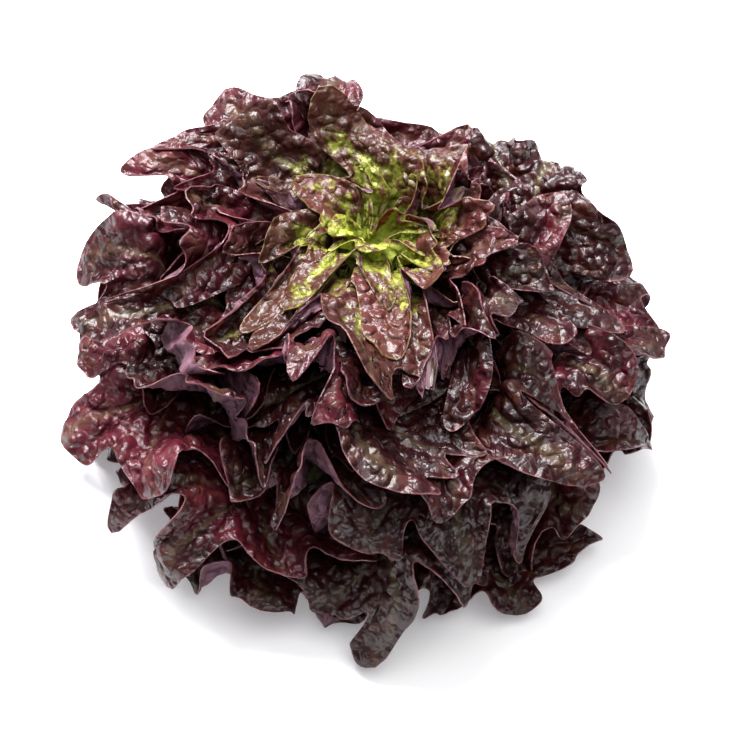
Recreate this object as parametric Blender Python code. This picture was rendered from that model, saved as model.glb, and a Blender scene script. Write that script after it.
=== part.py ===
"""A head of red oak leaf lettuce on its cut stem, as one solid for the stem and one for each leaf.

Metres, +Z up. The origin is the centre of the stem's cut face, which is the flat spot the head rests on.

The leaves stand round the stem in a golden-angle spiral. Each is drawn on a sheet of a nested family that
fans out from the stem like the water of a fountain: upright at the heart, arching over at the crown and
lying out flat at the skirt. Three coordinates place a point: run, the share of a sheet's length from the
stem; turn, the angle round the stem; and sheet, from 0 at the heart to 1 at the skirt. Sheets never cross,
so leaves that keep their order of sheets at each run and turn never cross either.
"""

import math

import bpy
import numpy as np
from mathutils.bvhtree import BVHTree

# Driving dimensions of the head
LEAVES = 53
GOLDEN_ANGLE = math.radians(137.508)
FIRST_TURN = math.radians(250)
END_CROWDING = 0.25
SKIRT_CROWDING = 1.25
SEED = 11

# The stem: a cut stump with a domed growing tip, that the leaves grow from
STEM_HEIGHT = 0.052
STEM_FOOT_RADIUS = 0.0185
STEM_DOME_POWER = 2.4
STEM_CUT_BEVEL = 0.0025
STEM_SIDES = 28
STEM_RING_SHARES = (0.30, 0.50, 0.65, 0.78, 0.88, 0.95, 0.99)
STEM_CLEARANCE = 0.0007
FIRST_LEAF_HEIGHT = 0.008
LAST_LEAF_HEIGHT = 0.0508

# Stations across the family of sheets, from the heart to the skirt
STATIONS = (0.0, 0.12, 0.25, 0.40, 0.60, 0.80, 1.0)
RISE_DEGREES = (90, 84, 79, 73, 64, 48, 12)
BEND_DEGREES = (-10, -36, -54, -68, -80, -82, -30)
SHEET_LENGTHS = (0.062, 0.090, 0.116, 0.138, 0.148, 0.147, 0.134)
BEND_POWER = 2.0
STATION_ROUNDING = 0.07
ROUNDING_STEPS = 5
SLOPE_PAST_HEART = 0.5

# One leaf. Widths are shares of its length, and the pairs say how far up the leaf a change begins and ends
LEAF_LENGTH_SPREAD = 0.06
MIDRIB_SHARE = 0.77
PETIOLE_HALF_WIDTH = 0.045
BLADE_HALF_WIDTH = 0.54
HEART_BLADE_SHARE = 0.95
FULL_BLADE_FROM_SHEET = 0.12
TIP_VEIN = 0.22
BLADE_WIDENS = (0.12, 0.62)
BLADE_NARROWS = (0.62, 1.0)
SIDES_DIFFER = 0.12
SIDES_PART_BY = 0.25
LOBES = 5.0
LOBE_DEPTH = 0.27
LOBE_DEPTH_SPREAD = 0.08
HEART_LOBE_SHARE = 0.2
LOBED_FROM_SHEET = 0.40
HEART_TIP_VEIN = 0.24
LOBES_DEEPEN = (0.15, 0.45)
SINUS_SHARPNESS = 2.6
VEINS_CROWD_TO_TIP = 0.86
VEIN_SLANT = math.radians(70)
VEIN_FAN = (3.2, 0.55)
LEAF_THICKNESS = 0.0009
RIB_THICKNESS = 0.0022
RIB_WIDTH = 0.35
RIB_TAPER = 1.5
RIB_AGE_POWER = 0.7

# The most that a leaf reaches round the stem to each side, at its foot and, past this run, in its blade
FOOT_TURN = math.radians(12)
BLADE_TURN = math.radians(68)
BLADE_TURN_RUN = 0.35

# Ruffles: how far the margin swings out of its sheet, in metres for a leaf of the full length
FULL_LENGTH = 0.145
LOBE_SWING = 0.011
LOBE_CURL = 0.009
LOBE_CURL_SPREAD = 0.5
OUTWARD_CURL = -0.002
SLOW_SWING = 0.010
SLOW_TURNS = (1.2, 2.0)
RUFFLES_GROW = (0.30, 0.85)
RUFFLE_POWER = 1.5

# The most that ruffles move a point, in sheets, and how far leaves may run past the first and last sheet
SWING_SHEETS = 0.13
SHEET_OVERRUN = 0.05
LOWEST_LEAF_POINT = 0.0010

# Clear air kept between leaves, and how the leaves are pushed apart, first on a raster and then in space
LEAF_GAP = 0.0007
CLEARANCE = 0.0004
RASTER_RUNS = 84
RASTER_TURNS = 240
SAMPLES_A_SIDE = 5
SPREAD_ROUNDS = 12
SPREAD_EASE = 0.7
PUSH_STEP = 0.0006
PUSH_ROUNDS = 60
PUSH_ON_NEIGHBOURS = 0.5

# A smooth flow that carries the whole head a little way, so that nothing is too regular
FLOW_WAVES = 26
FLOW_LENGTHS = (0.050, 0.120)
FLOW_CARRY = 0.009
FLOW_STEPS = 8
STILL_BY_STEM = (0.032, 0.080)
STILL_BY_FLOOR = (0.0, 0.030)
STILL_HEIGHT_SHARE = 0.5

# The head is a little wider than deep, its heart leans over, and it is fuller and higher at its back
WIDTH_STRETCH = 1.03
DEPTH_STRETCH = 0.95
HEART_LEAN = (0.002, 0.026)
LEAN_HEIGHTS = (0.052, 0.130)
LEAN_REACH = (0.030, 0.110)
BACK_SHIFT = (-0.020, 0.006)
BACK_RISE = 0.12
BACK_DEPTHS = (-0.030, 0.120)
BACK_HEIGHTS = (0.020, 0.110)

# The grid of each leaf's face: columns a side, and rows from midrib to margin
COLUMNS = 16
ROWS = 2

# Thickness is added along directions that stand at least this far above every face near them
NORMAL_ABOVE_FACE = 0.1
NORMAL_ROUNDS = 24

# Edges sharper than this are shaded sharp
SHARP_ANGLE = math.radians(50)

# Leaves inside these sheets are green, or green with a red blush
GREEN_BELOW_SHEET = 0.07
BLUSHED_BELOW_SHEET = 0.22

# The tables that the sheets are kept in
RUN_SAMPLES = 141
RUN_LIMIT = 1.4
SHEET_SAMPLES = 141
SHEET_LOW = -0.2
SHEET_HIGH = 1.2
LEAST_SPACING = 0.01
BEND_ENDS = 1.15


def smooth_step(low, high, value):
    share = np.clip((value - low) / (high - low), 0, 1)
    return share * share * (3 - 2 * share)


def station_values(values, sheet):
    """A value given at the stations, rounded off between them and carried on past the ends."""
    shifts = np.linspace(-STATION_ROUNDING, STATION_ROUNDING, ROUNDING_STEPS)
    total = 0
    for shift in shifts:
        at = sheet + shift
        inside = np.interp(at, STATIONS, values)
        low_slope = SLOPE_PAST_HEART * (values[1] - values[0]) / (STATIONS[1] - STATIONS[0])
        high_slope = (values[-1] - values[-2]) / (STATIONS[-1] - STATIONS[-2])
        inside = inside + np.minimum(at, 0) * low_slope + np.maximum(at - 1, 0) * high_slope
        total = total + inside
    return total / len(shifts)


def stem_radius(height):
    share = np.clip(height / STEM_HEIGHT, 0, 1)
    return STEM_FOOT_RADIUS * np.sqrt(1 - share**STEM_DOME_POWER)


def leaf_thickness(sheet, rib):
    """Thickness where rib runs from 0 in the blade to 1 on the midrib at the leaf's foot."""
    return LEAF_THICKNESS + RIB_THICKNESS * np.clip(sheet, 0, 1) ** RIB_AGE_POWER * rib


class SheetFamily:
    """The nested sheets, as tables of radius, height and spacing over (sheet, run)."""

    def __init__(self):
        self.sheets = np.linspace(SHEET_LOW, SHEET_HIGH, SHEET_SAMPLES)
        self.runs = np.linspace(0, RUN_LIMIT, RUN_SAMPLES)
        length = station_values(SHEET_LENGTHS, self.sheets)[:, None]
        rise = np.radians(station_values(RISE_DEGREES, self.sheets))[:, None]
        bend = np.radians(station_values(BEND_DEGREES, self.sheets))[:, None]
        angle = rise + bend * np.minimum(self.runs, BEND_ENDS)[None, :] ** BEND_POWER
        foot_height = LAST_LEAF_HEIGHT + (FIRST_LEAF_HEIGHT - LAST_LEAF_HEIGHT) * self.sheets
        foot_radius = stem_radius(foot_height) + STEM_CLEARANCE + leaf_thickness(self.sheets, 1) / 2
        step = self.runs[1] * length
        self.radius = foot_radius[:, None] + self.summed(np.cos(angle) * step)
        self.height = foot_height[:, None] + self.summed(np.sin(angle) * step)
        across_radius = np.gradient(self.radius, self.sheets, axis=0)
        across_height = np.gradient(self.height, self.sheets, axis=0)
        spacing = across_radius * np.sin(angle) - across_height * np.cos(angle)
        self.spacing = np.maximum(spacing, LEAST_SPACING)
        self.length = length[:, 0]

    @staticmethod
    def summed(steps):
        middle = (steps[:, 1:] + steps[:, :-1]) / 2
        return np.concatenate([np.zeros((len(steps), 1)), np.cumsum(middle, axis=1)], axis=1)

    def read(self, table, run, sheet):
        """The table's value at (run, sheet), interpolated."""
        share = (sheet - SHEET_LOW) / (SHEET_HIGH - SHEET_LOW)
        i = np.clip(share * (SHEET_SAMPLES - 1), 0, SHEET_SAMPLES - 1.001)
        j = np.clip(run / RUN_LIMIT * (RUN_SAMPLES - 1), 0, RUN_SAMPLES - 1.001)
        i0 = i.astype(int)
        j0 = j.astype(int)
        a = i - i0
        b = j - j0
        low = table[i0, j0] * (1 - b) + table[i0, j0 + 1] * b
        high = table[i0 + 1, j0] * (1 - b) + table[i0 + 1, j0 + 1] * b
        return low * (1 - a) + high * a

    def point(self, run, turn, sheet):
        radius = self.read(self.radius, run, sheet)
        height = self.read(self.height, run, sheet)
        return np.stack([radius * np.cos(turn), radius * np.sin(turn), height], axis=-1)


class Flow:
    """A smooth, divergence-free flow of plane waves. Points carried along it never make leaves cross."""

    def __init__(self, random):
        directions = random.normal(size=(FLOW_WAVES, 3))
        directions /= np.linalg.norm(directions, axis=1)[:, None]
        lengths = random.uniform(*FLOW_LENGTHS, FLOW_WAVES)
        self.waves = directions * (2 * math.pi / lengths)[:, None]
        self.push = np.cross(directions, random.normal(size=(FLOW_WAVES, 3)))
        self.push *= math.sqrt(2 / FLOW_WAVES)
        self.phases = random.uniform(0, 2 * math.pi, FLOW_WAVES)

    def speed(self, points):
        swing = np.cos(points @ self.waves.T + self.phases)
        speed = swing @ self.push * FLOW_CARRY
        radius = np.hypot(points[..., 0], points[..., 1])
        speed = speed * smooth_step(*STILL_BY_STEM, radius + STILL_HEIGHT_SHARE * points[..., 2])[..., None]
        speed[..., 2] *= smooth_step(*STILL_BY_FLOOR, points[..., 2])
        return speed

    def carry(self, points):
        for _ in range(FLOW_STEPS):
            half = points + self.speed(points) / (2 * FLOW_STEPS)
            points = points + self.speed(half) / FLOW_STEPS
        return leant(points)


def leant(points):
    """The points with the head widened, the heart leant over and the back of the head filled out."""
    x, y, z = points[..., 0], points[..., 1], points[..., 2]
    spread = smooth_step(*STILL_BY_STEM, np.hypot(x, y))
    x = x * (1 + (WIDTH_STRETCH - 1) * spread)
    y = y * (1 + (DEPTH_STRETCH - 1) * spread)
    heart = smooth_step(*LEAN_HEIGHTS, z) * (1 - smooth_step(*LEAN_REACH, np.hypot(x, y)))
    back = smooth_step(*BACK_DEPTHS, y) * smooth_step(*BACK_HEIGHTS, z)
    x = x + HEART_LEAN[0] * heart + BACK_SHIFT[0] * back
    y = y + HEART_LEAN[1] * heart + BACK_SHIFT[1] * back
    return np.stack([x, y, z * (1 + BACK_RISE * back)], axis=-1)


class Leaf:
    """One leaf. Columns run round its margin from the base, past the tip and back; rows run from its midrib
    out to the margin."""

    def __init__(self, number, random):
        age = 1 - number / (LEAVES - 1)
        self.name = f"leaf_{number + 1:02d}"
        sheet = age - END_CROWDING * math.sin(2 * math.pi * age) / (2 * math.pi)
        self.sheet = 1 - (1 - sheet) ** SKIRT_CROWDING
        self.turn = FIRST_TURN + number * GOLDEN_ANGLE
        self.stretch = 1 + random.uniform(-1, 1) * LEAF_LENGTH_SPREAD
        self.phases = random.uniform(0, 2 * math.pi, 2)
        self.draws = random.uniform(-1, 1, 5)

    def plan(self, length, column, row):
        """The grid's points on the leaf laid flat: x across it and y along it. column is from 0 at the base
        through COLUMNS at the tip to 2 * COLUMNS, and row from 0 at the midrib to 1 at the margin."""
        around = (column - COLUMNS) / COLUMNS
        side = np.sign(around)
        up = 1 - np.abs(around)
        lopsided = SIDES_DIFFER * side * smooth_step(0, SIDES_PART_BY, np.abs(around))
        beat = np.abs(around) * (LOBES + self.draws[0] * lopsided)
        along = MIDRIB_SHARE * up**VEINS_CROWD_TO_TIP
        full = smooth_step(0, FULL_BLADE_FROM_SHEET, self.sheet)
        lobed = smooth_step(0, LOBED_FROM_SHEET, self.sheet)
        widest = BLADE_HALF_WIDTH * (HEART_BLADE_SHARE + (1 - HEART_BLADE_SHARE) * full)
        envelope = PETIOLE_HALF_WIDTH + (widest - PETIOLE_HALF_WIDTH) * smooth_step(*BLADE_WIDENS, up)
        tip = HEART_TIP_VEIN + (TIP_VEIN - HEART_TIP_VEIN) * lobed
        envelope = envelope + (tip - widest) * smooth_step(*BLADE_NARROWS, up)
        envelope = envelope * (1 + self.draws[1] * lopsided)
        depth = (LOBE_DEPTH + LOBE_DEPTH_SPREAD * self.draws[2]) * smooth_step(*LOBES_DEEPEN, up)
        depth = depth * (HEART_LOBE_SHARE + (1 - HEART_LOBE_SHARE) * lobed)
        notch = (0.5 - 0.5 * np.cos(2 * math.pi * beat)) ** SINUS_SHARPNESS
        vein = envelope * (1 - depth * notch) * row
        slant = VEIN_SLANT * (1 - up ** VEIN_FAN[0]) ** VEIN_FAN[1]
        return side * vein * np.sin(slant) * length, (along + vein * np.cos(slant)) * length

    def outline(self, family, column, row):
        """Run, turn, and swing in metres out of the sheet, of the grid's points."""
        sheet_length = float(np.interp(self.sheet, family.sheets, family.length))
        length = sheet_length * self.stretch
        x, y = self.plan(length, column, row)
        run = y / sheet_length
        radius = family.read(family.radius, run, np.full_like(run, self.sheet))
        widest = FOOT_TURN + (BLADE_TURN - FOOT_TURN) * smooth_step(0.0, BLADE_TURN_RUN, run)
        turn = self.turn + widest * np.tanh(x / (radius * widest))
        around = math.pi * (column - COLUMNS) / COLUMNS
        slow_turns = np.interp(self.draws[3], (-1, 1), SLOW_TURNS)
        swing = LOBE_SWING * np.cos(around * LOBES + self.phases[0])
        curl = LOBE_CURL * (1 + LOBE_CURL_SPREAD * self.draws[4])
        swing = swing + curl * np.cos(2 * around * LOBES) + OUTWARD_CURL
        swing = swing + SLOW_SWING * np.cos(around * slow_turns + self.phases[1])
        edge = row**RUFFLE_POWER * smooth_step(*RUFFLES_GROW, run) * length / FULL_LENGTH
        return run, turn, swing * edge


def leaf_grid():
    """Column and row of each point, the triangles as three point numbers, and the rim in order. The columns
    the same way from the tip share their point on the midrib."""
    k, m = COLUMNS, ROWS
    column = list(range(k + 1))
    row = [0] * (k + 1)
    number = {(c, 0): min(c, 2 * k - c) for c in range(2 * k + 1)}
    for c in range(2 * k + 1):
        for r in range(1, m + 1):
            number[c, r] = len(column)
            column.append(c)
            row.append(r)
    faces = []
    for c in range(2 * k):
        for r in range(m):
            a, b = number[c, r], number[c + 1, r]
            d, e = number[c, r + 1], number[c + 1, r + 1]
            if (c < k) == (c % 2 == 0):
                faces += [(a, d, e), (a, e, b)]
            else:
                faces += [(a, d, b), (b, d, e)]
    rim = [number[c, m] for c in range(2 * k + 1)]
    foot = [number[2 * k, r] for r in range(m - 1, 0, -1)] + [0] + [number[0, r] for r in range(1, m)]
    return np.array(column, float), np.array(row, float) / m, np.array(faces), rim + foot


class Stack:
    """Which sheets are taken at each run and turn by the leaves laid so far, heart first."""

    def __init__(self, family):
        self.family = family
        self.taken = np.full((RASTER_RUNS, RASTER_TURNS), -np.inf)

    def cell(self, run, turn):
        i = np.clip((run / RUN_LIMIT * RASTER_RUNS).astype(int), 0, RASTER_RUNS - 1)
        j = np.floor(turn / (2 * math.pi) * RASTER_TURNS).astype(int) % RASTER_TURNS
        return i, j

    @staticmethod
    def samples(faces, count):
        """Weights of the points in samples spread over each triangle."""
        steps = SAMPLES_A_SIDE
        weights = [(a, b, steps - a - b) for a in range(steps + 1) for b in range(steps + 1 - a)]
        weights = np.array(weights) / steps
        table = np.zeros((len(faces) * len(weights), count))
        for f, face in enumerate(faces):
            table[f * len(weights) : (f + 1) * len(weights), face] = weights
        return table

    def push_out(self, run, turn, sheet, faces, half_thickness):
        """Pushes the sheet values out until the leaf clears those inside it."""
        table = self.samples(faces, len(run))
        spread = table / np.maximum(table.max(axis=0), 1e-9)
        at_run = table @ run
        at_turn = table @ turn
        at_half = table @ half_thickness
        cells = self.cell(at_run, at_turn)
        spacing = self.family.read(self.family.spacing, at_run, table @ sheet)
        need = self.taken[cells] + (LEAF_GAP + at_half) / spacing
        for _ in range(SPREAD_ROUNDS):
            short = np.maximum(need - table @ sheet, 0)
            sheet = sheet + (spread * short[:, None]).max(axis=0) * SPREAD_EASE
        return sheet

    def take(self, run, turn, sheet, faces, half_thickness):
        """Marks the sheets that the leaf takes."""
        table = self.samples(faces, len(run))
        at_run = table @ run
        cells = self.cell(at_run, table @ turn)
        spacing = self.family.read(self.family.spacing, at_run, table @ sheet)
        at_sheet = table @ sheet + (table @ half_thickness + 0.5 * LEAF_GAP) / spacing
        for di in (-1, 0, 1):
            for dj in (-1, 0, 1):
                i = np.clip(cells[0] + di, 0, RASTER_RUNS - 1)
                j = (cells[1] + dj) % RASTER_TURNS
                np.maximum.at(self.taken, (i, j), at_sheet)


def point_normals(points, faces):
    """Directions at the points that lie outside every face that meets there, also in a tight fold."""
    corners = points[faces]
    across = np.cross(corners[:, 1] - corners[:, 0], corners[:, 2] - corners[:, 0])
    flat = across / np.maximum(np.linalg.norm(across, axis=1), 1e-12)[:, None]
    normals = summed_at_points(points, faces, [across] * 3)
    for _ in range(NORMAL_ROUNDS):
        normals = normals / np.maximum(np.linalg.norm(normals, axis=1), 1e-12)[:, None]
        above = (normals[faces] * flat[:, None]).sum(axis=2)
        missing = np.maximum(NORMAL_ABOVE_FACE - above, 0)
        normals = normals + summed_at_points(points, faces, [flat * part[:, None] for part in missing.T])
    return normals / np.maximum(np.linalg.norm(normals, axis=1), 1e-12)[:, None]


def summed_at_points(points, faces, vectors):
    """At each point, the sum of the vectors that the corners of its faces bring."""
    total = np.zeros_like(points)
    for corner in range(3):
        np.add.at(total, faces[:, corner], vectors[corner])
    return total


def thin_solid(points, faces, rim, thickness):
    """A thin closed solid's points and triangles: the grid's on its two faces, and a band at the rim."""
    lift = point_normals(points, faces) * thickness[:, None] / 2
    count = len(points)
    triangles = [tuple(int(n) for n in face) for face in faces]
    triangles += [tuple(int(n) + count for n in reversed(face)) for face in faces]
    for a, b in zip(rim, rim[1:] + rim[:1]):
        triangles += [(a, a + count, b + count), (a, b + count, b)]
    return np.concatenate([points + lift, points - lift]), triangles


class Heap:
    """The solids laid so far, which the next leaf has to clear in space."""

    def __init__(self):
        self.points = []
        self.triangles = []

    def add(self, points, triangles):
        start = len(self.points)
        self.points += [tuple(p) for p in points]
        self.triangles += [tuple(start + n for n in triangle) for triangle in triangles]

    def tree(self):
        return BVHTree.FromPolygons(self.points, self.triangles)


def placed(family, flow, run, turn, sheet, thickness):
    """The points of a leaf in space, none lower than a little above what the head rests on."""
    points = flow.carry(family.point(run, turn, sheet))
    points[:, 2] = np.maximum(points[:, 2], LOWEST_LEAF_POINT + thickness / 2)
    return points


def clear_sheets(heap, family, flow, run, turn, sheet, faces, rim, thickness):
    """Pushes the points of a leaf that meets the heap out through the sheets, a little at a time."""
    tree = heap.tree()
    near = [set() for _ in run]
    for face in faces:
        for n in face:
            near[n].update(int(other) for other in face)
    spacing = family.read(family.spacing, run, sheet)
    for _ in range(PUSH_ROUNDS):
        points = placed(family, flow, run, turn, sheet, thickness)
        solid, triangles = thin_solid(points, faces, rim, thickness + 2 * CLEARANCE)
        meets = tree.overlap(BVHTree.FromPolygons([tuple(p) for p in solid], triangles))
        if not meets:
            break
        push = np.zeros(len(run))
        for n in {corner % len(run) for _, triangle in meets for corner in triangles[triangle]}:
            push[n] = 1
        wide = push.copy()
        for n, others in enumerate(near):
            wide[n] = max(push[n], PUSH_ON_NEIGHBOURS * max(push[list(others)]))
        sheet = sheet + wide * PUSH_STEP / spacing
    return sheet


def kept_in_family(sheet):
    """Sheet values that run past the heart or the skirt are drawn back to a little past it."""
    inside = np.clip(sheet, 0, 1)
    return inside + SHEET_OVERRUN * np.tanh((sheet - inside) / SHEET_OVERRUN)


def leaf_surfaces(family, flow, heap):
    """Each leaf's points in space, heart first, with its triangles, rim and thickness."""
    random = np.random.default_rng(SEED)
    leaves = [Leaf(number, random) for number in range(LEAVES)]
    stack = Stack(family)
    column, row, faces, rim = leaf_grid()
    rib = np.exp(-((row / RIB_WIDTH) ** 2)) * (np.abs(column - COLUMNS) / COLUMNS) ** RIB_TAPER
    made = []
    for leaf in reversed(leaves):
        run, turn, swing = leaf.outline(family, column, row)
        thickness = leaf_thickness(leaf.sheet, rib)
        spacing = family.read(family.spacing, run, np.full_like(run, leaf.sheet))
        sheet = leaf.sheet + SWING_SHEETS * np.tanh(swing / spacing / SWING_SHEETS)
        sheet = kept_in_family(sheet)
        sheet = stack.push_out(run, turn, sheet, faces, thickness / 2)
        sheet = clear_sheets(heap, family, flow, run, turn, sheet, faces, rim, thickness)
        stack.take(run, turn, sheet, faces, thickness / 2)
        points = placed(family, flow, run, turn, sheet, thickness)
        solid, triangles = thin_solid(points, faces, rim, thickness)
        heap.add(solid, triangles)
        made.append((leaf, solid, triangles))
    return made


def stem_surface():
    """The stem, turned from its outline: a cut foot with a broken edge, a stump and a domed growing tip."""
    outline = [(0, 0), (STEM_FOOT_RADIUS - STEM_CUT_BEVEL, 0)]
    heights = [STEM_CUT_BEVEL] + [STEM_HEIGHT * share for share in STEM_RING_SHARES]
    outline += [(float(stem_radius(z)), z) for z in heights] + [(0, STEM_HEIGHT)]
    points = []
    rings = []
    for radius, height in outline:
        if radius == 0:
            rings.append([len(points)] * STEM_SIDES)
            points.append((0, 0, height))
            continue
        rings.append([len(points) + s for s in range(STEM_SIDES)])
        for s in range(STEM_SIDES):
            angle = 2 * math.pi * s / STEM_SIDES
            points.append((radius * math.cos(angle), radius * math.sin(angle), height))
    faces = []
    for low, high in zip(rings, rings[1:]):
        for s in range(STEM_SIDES):
            n = (s + 1) % STEM_SIDES
            corners = [low[s], low[n], high[n], high[s]]
            faces.append([c for i, c in enumerate(corners) if c not in corners[:i]])
    return points, faces


def solid_object(name, points, faces, material):
    mesh = bpy.data.meshes.new(name)
    mesh.from_pydata([tuple(p) for p in points], [], faces)
    mesh.shade_smooth()
    mesh.set_sharp_from_angle(angle=SHARP_ANGLE)
    mesh.materials.append(material)
    obj = bpy.data.objects.new(name, mesh)
    bpy.context.scene.collection.objects.link(obj)
    return obj


def plain_material(name, colour, roughness):
    material = bpy.data.materials.new(name)
    material.use_nodes = True
    shader = material.node_tree.nodes["Principled BSDF"]
    shader.inputs["Base Color"].default_value = (*colour, 1)
    shader.inputs["Roughness"].default_value = roughness
    shader.inputs["Metallic"].default_value = 0
    return material


def main():
    for obj in list(bpy.data.objects):
        bpy.data.objects.remove(obj)
    red = plain_material("red_leaf", (0.075, 0.022, 0.030), 0.32)
    blushed = plain_material("blushed_leaf", (0.22, 0.16, 0.05), 0.35)
    green = plain_material("heart_leaf", (0.42, 0.48, 0.07), 0.38)
    pale = plain_material("stem_flesh", (0.66, 0.68, 0.42), 0.55)
    family = SheetFamily()
    flow = Flow(np.random.default_rng(SEED + 1))
    points, faces = stem_surface()
    solid_object("stem", points, faces, pale)
    heap = Heap()
    heap.add(points, [tuple(face) for face in faces])
    for leaf, solid, triangles in leaf_surfaces(family, flow, heap):
        green_leaf = leaf.sheet < GREEN_BELOW_SHEET
        blushed_leaf = leaf.sheet < BLUSHED_BELOW_SHEET
        solid_object(leaf.name, solid, triangles, green if green_leaf else blushed if blushed_leaf else red)


if __name__ == "__main__":
    main()
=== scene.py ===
"""Looks of the red oak leaf lettuce. Every leaf is drawn again by the rules of its solid, on a finer grid.

Metres, +Z up. The leaves' outlines, ruffles and places are those of the solids. Their pushes apart are found
again on the coarse grid and carried over smoothly to the fine one. The fine leaves add puckers and swells,
laid out by cells in space, the small frills, scallops and rolled edge of the margin, and the ribs and veins.
"""

import math

import bpy
import numpy as np
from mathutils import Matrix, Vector
from mathutils.bvhtree import BVHTree

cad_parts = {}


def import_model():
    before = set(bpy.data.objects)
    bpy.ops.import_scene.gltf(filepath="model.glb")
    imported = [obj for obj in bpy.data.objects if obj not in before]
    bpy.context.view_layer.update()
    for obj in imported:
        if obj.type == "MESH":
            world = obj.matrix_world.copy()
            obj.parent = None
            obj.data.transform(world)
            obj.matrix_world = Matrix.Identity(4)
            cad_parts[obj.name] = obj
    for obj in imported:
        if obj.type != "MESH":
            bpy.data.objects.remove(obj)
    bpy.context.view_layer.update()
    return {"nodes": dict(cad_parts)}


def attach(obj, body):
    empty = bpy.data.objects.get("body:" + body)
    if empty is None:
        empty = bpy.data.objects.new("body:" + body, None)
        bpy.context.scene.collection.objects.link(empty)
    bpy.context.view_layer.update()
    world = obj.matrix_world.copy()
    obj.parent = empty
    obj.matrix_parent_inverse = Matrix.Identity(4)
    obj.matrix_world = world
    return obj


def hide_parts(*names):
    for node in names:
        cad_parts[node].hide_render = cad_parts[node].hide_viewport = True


# Driving dimensions of the head
LEAVES = 53
GOLDEN_ANGLE = math.radians(137.508)
FIRST_TURN = math.radians(250)
END_CROWDING = 0.25
SKIRT_CROWDING = 1.25
SEED = 11

# The stem: a cut stump with a domed growing tip, that the leaves grow from
STEM_HEIGHT = 0.052
STEM_FOOT_RADIUS = 0.0185
STEM_DOME_POWER = 2.4
STEM_CUT_BEVEL = 0.0025
STEM_SIDES = 28
STEM_RING_SHARES = (0.30, 0.50, 0.65, 0.78, 0.88, 0.95, 0.99)
STEM_CLEARANCE = 0.0007
FIRST_LEAF_HEIGHT = 0.008
LAST_LEAF_HEIGHT = 0.0508

# Stations across the family of sheets, from the heart to the skirt
STATIONS = (0.0, 0.12, 0.25, 0.40, 0.60, 0.80, 1.0)
RISE_DEGREES = (90, 84, 79, 73, 64, 48, 12)
BEND_DEGREES = (-10, -36, -54, -68, -80, -82, -30)
SHEET_LENGTHS = (0.062, 0.090, 0.116, 0.138, 0.148, 0.147, 0.134)
BEND_POWER = 2.0
STATION_ROUNDING = 0.07
ROUNDING_STEPS = 5
SLOPE_PAST_HEART = 0.5

# One leaf. Widths are shares of its length, and the pairs say how far up the leaf a change begins and ends
LEAF_LENGTH_SPREAD = 0.06
MIDRIB_SHARE = 0.77
PETIOLE_HALF_WIDTH = 0.045
BLADE_HALF_WIDTH = 0.54
HEART_BLADE_SHARE = 0.95
FULL_BLADE_FROM_SHEET = 0.12
TIP_VEIN = 0.22
BLADE_WIDENS = (0.12, 0.62)
BLADE_NARROWS = (0.62, 1.0)
SIDES_DIFFER = 0.12
SIDES_PART_BY = 0.25
LOBES = 5.0
LOBE_DEPTH = 0.27
LOBE_DEPTH_SPREAD = 0.08
HEART_LOBE_SHARE = 0.2
LOBED_FROM_SHEET = 0.40
HEART_TIP_VEIN = 0.24
LOBES_DEEPEN = (0.15, 0.45)
SINUS_SHARPNESS = 2.6
VEINS_CROWD_TO_TIP = 0.86
VEIN_SLANT = math.radians(70)
VEIN_FAN = (3.2, 0.55)
LEAF_THICKNESS = 0.0009
RIB_THICKNESS = 0.0022
RIB_WIDTH = 0.35
RIB_TAPER = 1.5
RIB_AGE_POWER = 0.7

# The most that a leaf reaches round the stem to each side, at its foot and, past this run, in its blade
FOOT_TURN = math.radians(12)
BLADE_TURN = math.radians(68)
BLADE_TURN_RUN = 0.35

# Ruffles: how far the margin swings out of its sheet, in metres for a leaf of the full length
FULL_LENGTH = 0.145
LOBE_SWING = 0.011
LOBE_CURL = 0.009
LOBE_CURL_SPREAD = 0.5
OUTWARD_CURL = -0.002
SLOW_SWING = 0.010
SLOW_TURNS = (1.2, 2.0)
RUFFLES_GROW = (0.30, 0.85)
RUFFLE_POWER = 1.5

# The most that ruffles move a point, in sheets, and how far leaves may run past the first and last sheet
SWING_SHEETS = 0.13
SHEET_OVERRUN = 0.05
LOWEST_LEAF_POINT = 0.0010

# Clear air kept between leaves, and how the leaves are pushed apart, first on a raster and then in space
LEAF_GAP = 0.0007
CLEARANCE = 0.0004
RASTER_RUNS = 84
RASTER_TURNS = 240
SAMPLES_A_SIDE = 5
SPREAD_ROUNDS = 12
SPREAD_EASE = 0.7
PUSH_STEP = 0.0006
PUSH_ROUNDS = 60
PUSH_ON_NEIGHBOURS = 0.5

# A smooth flow that carries the whole head a little way, so that nothing is too regular
FLOW_WAVES = 26
FLOW_LENGTHS = (0.050, 0.120)
FLOW_CARRY = 0.009
FLOW_STEPS = 8
STILL_BY_STEM = (0.032, 0.080)
STILL_BY_FLOOR = (0.0, 0.030)
STILL_HEIGHT_SHARE = 0.5

# The head is a little wider than deep, its heart leans over, and it is fuller and higher at its back
WIDTH_STRETCH = 1.03
DEPTH_STRETCH = 0.95
HEART_LEAN = (0.002, 0.026)
LEAN_HEIGHTS = (0.052, 0.130)
LEAN_REACH = (0.030, 0.110)
BACK_SHIFT = (-0.020, 0.006)
BACK_RISE = 0.12
BACK_DEPTHS = (-0.030, 0.120)
BACK_HEIGHTS = (0.020, 0.110)

# The grid of each leaf's face: columns a side, and rows from midrib to margin
COLUMNS = 16
ROWS = 2

# Thickness is added along directions that stand at least this far above every face near them
NORMAL_ABOVE_FACE = 0.1
NORMAL_ROUNDS = 24

# Edges sharper than this are shaded sharp
SHARP_ANGLE = math.radians(60)

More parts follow.
